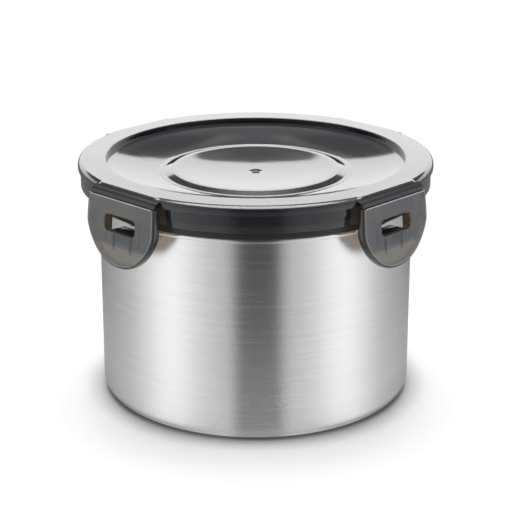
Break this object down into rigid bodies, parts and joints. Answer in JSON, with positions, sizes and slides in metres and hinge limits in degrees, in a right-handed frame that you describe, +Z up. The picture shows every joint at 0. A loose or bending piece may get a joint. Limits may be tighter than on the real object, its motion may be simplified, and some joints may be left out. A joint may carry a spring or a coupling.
{
  "type": "food canister",
  "caption": "Round steel storage canister with a smoke-grey snap lid: a seal ring closes on the rolled rim and hinged side clips hook under it.",
  "frame": {"origin": "centre of the underside, on the surface the canister stands on", "axes": "+Z up along the cup's axis; the four clips point along +X (right), +Y (rear), -X (left) and -Y (front)"},
  "size_m": [0.1582, 0.1582, 0.1022],
  "materials": {
    "brushed_cup": "satin, brushed round the cup",
    "smoke_lid": "polished, dark translucent grey",
    "smoke_clip": "polished, translucent grey",
    "seal_ring": "soft silicone"
  },
  "bodies": {
    "cup": {"cup": "brushed_cup"},
    "lid": {"lid": "smoke_lid", "seal": "seal_ring", "hinge_right": "smoke_clip", "hinge_rear": "smoke_clip", "hinge_left": "smoke_clip", "hinge_front": "smoke_clip"},
    "clip_right": {"clip_right": "smoke_clip"},
    "clip_rear": {"clip_rear": "smoke_clip"},
    "clip_left": {"clip_left": "smoke_clip"},
    "clip_front": {"clip_front": "smoke_clip"}
  },
  "joints": [
    {"name": "lid_lift", "type": "slide", "parent": "cup", "child": "lid", "axis": [0, 0, 1], "range_m": [0, 0.03]},
    {"name": "clip_right_hinge", "type": "hinge", "parent": "lid", "child": "clip_right", "pos_m": [0.07457, 0, 0.10032], "axis": [0, -1, 0], "range_deg": [0, 135], "deforming": ["hinge_right"]},
    {"name": "clip_rear_hinge", "type": "hinge", "parent": "lid", "child": "clip_rear", "pos_m": [0, 0.07457, 0.10032], "axis": [1, 0, 0], "range_deg": [0, 135], "deforming": ["hinge_rear"]},
    {"name": "clip_left_hinge", "type": "hinge", "parent": "lid", "child": "clip_left", "pos_m": [-0.07457, 0, 0.10032], "axis": [0, 1, 0], "range_deg": [0, 135], "deforming": ["hinge_left"]},
    {"name": "clip_front_hinge", "type": "hinge", "parent": "lid", "child": "clip_front", "pos_m": [0, -0.07457, 0.10032], "axis": [-1, 0, 0], "range_deg": [0, 135], "deforming": ["hinge_front"]}
  ]
}
